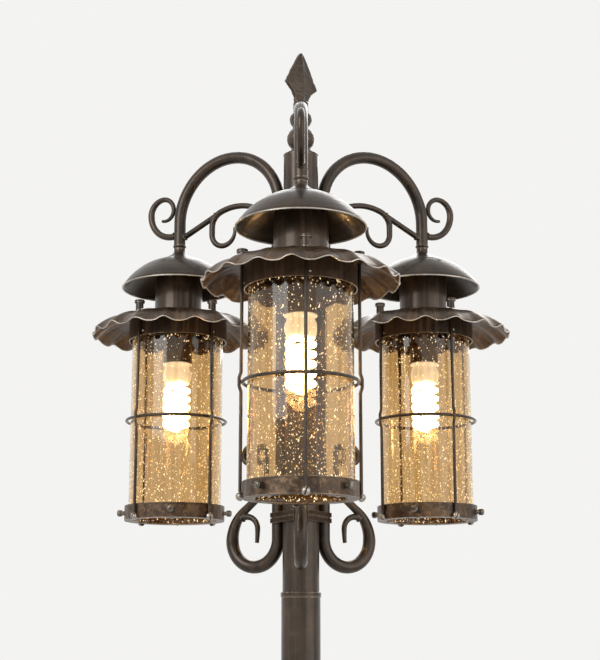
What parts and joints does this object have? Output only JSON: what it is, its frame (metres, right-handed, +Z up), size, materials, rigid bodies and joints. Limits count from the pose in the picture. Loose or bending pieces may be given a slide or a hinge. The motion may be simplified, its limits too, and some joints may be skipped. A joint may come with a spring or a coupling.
{
  "type": "triple head lamp post",
  "caption": "Tall round lamp post with swan neck arms, scrolls and hanging cylindrical glass lanterns under fluted metal crowns, topped by a spear finial.",
  "frame": {"origin": "on the ground, at the centre of the base plate's underside, on the axis of the post", "axes": "+Z up along the post; -Y is the front, along the front arm; +X to the right seen from the front"},
  "size_m": [0.704, 0.649, 2.571],
  "materials": {
    "dark_bronze": "blackened bronze, brushed by hand, satin",
    "rust_bronze": "brown patina, uneven",
    "dark_enamel": "dark enamel",
    "bright_steel": "worn metal, satin",
    "seeded_glass": "clear glass full of seed bubbles",
    "white_plastic": "white moulded plastic",
    "lamp_glass": "white coated lamp tube"
  },
  "bodies": {
    "pole": {"base_flange": "dark_bronze", "lower_pole": "dark_bronze"},
    "head": {"upper_post": "dark_bronze", "finial": "dark_bronze", "collar_lower": "dark_bronze", "collar_upper": "dark_bronze", "arm_front": "dark_bronze", "outer_curl_front": "dark_bronze", "brace_front": "dark_bronze", "arm_left": "dark_bronze", "outer_curl_left": "dark_bronze", "brace_left": "dark_bronze", "arm_right": "dark_bronze", "outer_curl_right": "dark_bronze", "brace_right": "dark_bronze"},
    "lantern_front": {"hood_front": "dark_bronze", "crown_front": "rust_bronze", "crown_nuts_front": "dark_bronze", "chimney_front": "rust_bronze", "drum_front": "rust_bronze", "cage_front": "dark_bronze", "bottom_band_front": "dark_bronze", "glass_front": "seeded_glass", "lampholder_front": "dark_enamel", "bulb_housing_front": "white_plastic", "bulb_spiral_front": "lamp_glass"},
    "glass_screw_1_front": {"glass_screw_1_front": "bright_steel"},
    "glass_screw_2_front": {"glass_screw_2_front": "bright_steel"},
    "glass_screw_3_front": {"glass_screw_3_front": "bright_steel"},
    "glass_screw_4_front": {"glass_screw_4_front": "bright_steel"},
    "lantern_left": {"hood_left": "dark_bronze", "crown_left": "rust_bronze", "crown_nuts_left": "dark_bronze", "chimney_left": "rust_bronze", "drum_left": "rust_bronze", "cage_left": "dark_bronze", "bottom_band_left": "dark_bronze", "glass_left": "seeded_glass", "lampholder_left": "dark_enamel", "bulb_housing_left": "white_plastic", "bulb_spiral_left": "lamp_glass"},
    "glass_screw_1_left": {"glass_screw_1_left": "bright_steel"},
    "glass_screw_2_left": {"glass_screw_2_left": "bright_steel"},
    "glass_screw_3_left": {"glass_screw_3_left": "bright_steel"},
    "glass_screw_4_left": {"glass_screw_4_left": "bright_steel"},
    "lantern_right": {"hood_right": "dark_bronze", "crown_right": "rust_bronze", "crown_nuts_right": "dark_bronze", "chimney_right": "rust_bronze", "drum_right": "rust_bronze", "cage_right": "dark_bronze", "bottom_band_right": "dark_bronze", "glass_right": "seeded_glass", "lampholder_right": "dark_enamel", "bulb_housing_right": "white_plastic", "bulb_spiral_right": "lamp_glass"},
    "glass_screw_1_right": {"glass_screw_1_right": "bright_steel"},
    "glass_screw_2_right": {"glass_screw_2_right": "bright_steel"},
    "glass_screw_3_right": {"glass_screw_3_right": "bright_steel"},
    "glass_screw_4_right": {"glass_screw_4_right": "bright_steel"}
  },
  "joints": [
    {"name": "head_turn", "type": "hinge", "parent": "pole", "child": "head", "pos_m": [0, 0, 1.673], "axis": [0, 0, 1], "range_deg": [-180, 180]},
    {"name": "lantern_swivel_front", "type": "hinge", "parent": "head", "child": "lantern_front", "pos_m": [0, -0.24, 2.267], "axis": [0, 0, 1], "range_deg": [-175, 175]},
    {"name": "glass_screw_slide_1_front", "type": "slide", "parent": "lantern_front", "child": "glass_screw_1_front", "axis": [0.6494, 0.7604, 0], "range_m": [0, 0.006]},
    {"name": "glass_screw_slide_2_front", "type": "slide", "parent": "lantern_front", "child": "glass_screw_2_front", "axis": [-0.7604, 0.6494, 0], "range_m": [0, 0.006]},
    {"name": "glass_screw_slide_3_front", "type": "slide", "parent": "lantern_front", "child": "glass_screw_3_front", "axis": [-0.6494, -0.7604, 0], "range_m": [0, 0.006]},
    {"name": "glass_screw_slide_4_front", "type": "slide", "parent": "lantern_front", "child": "glass_screw_4_front", "axis": [0.7604, -0.6494, 0], "range_m": [0, 0.006]},
    {"name": "lantern_swivel_left", "type": "hinge", "parent": "head", "child": "lantern_left", "pos_m": [-0.20785, 0.12, 2.267], "axis": [0, 0, 1], "range_deg": [-175, 175]},
    {"name": "glass_screw_slide_1_left", "type": "slide", "parent": "lantern_left", "child": "glass_screw_1_left", "axis": [-0.0175, 0.9998, 0], "range_m": [0, 0.006]},
    {"name": "glass_screw_slide_2_left", "type": "slide", "parent": "lantern_left", "child": "glass_screw_2_left", "axis": [-0.9998, -0.0175, 0], "range_m": [0, 0.006]},
    {"name": "glass_screw_slide_3_left", "type": "slide", "parent": "lantern_left", "child": "glass_screw_3_left", "axis": [0.0175, -0.9998, 0], "range_m": [0, 0.006]},
    {"name": "glass_screw_slide_4_left", "type": "slide", "parent": "lantern_left", "child": "glass_screw_4_left", "axis": [0.9998, 0.0175, 0], "range_m": [0, 0.006]},
    {"name": "lantern_swivel_right", "type": "hinge", "parent": "head", "child": "lantern_right", "pos_m": [0.20785, 0.12, 2.267], "axis": [0, 0, 1], "range_deg": [-175, 175]},
    {"name": "glass_screw_slide_1_right", "type": "slide", "parent": "lantern_right", "child": "glass_screw_1_right", "axis": [0.309, 0.9511, 0], "range_m": [0, 0.006]},
    {"name": "glass_screw_slide_2_right", "type": "slide", "parent": "lantern_right", "child": "glass_screw_2_right", "axis": [-0.9511, 0.309, 0], "range_m": [0, 0.006]},
    {"name": "glass_screw_slide_3_right", "type": "slide", "parent": "lantern_right", "child": "glass_screw_3_right", "axis": [-0.309, -0.9511, 0], "range_m": [0, 0.006]},
    {"name": "glass_screw_slide_4_right", "type": "slide", "parent": "lantern_right", "child": "glass_screw_4_right", "axis": [0.9511, -0.309, 0], "range_m": [0, 0.006]}
  ]
}
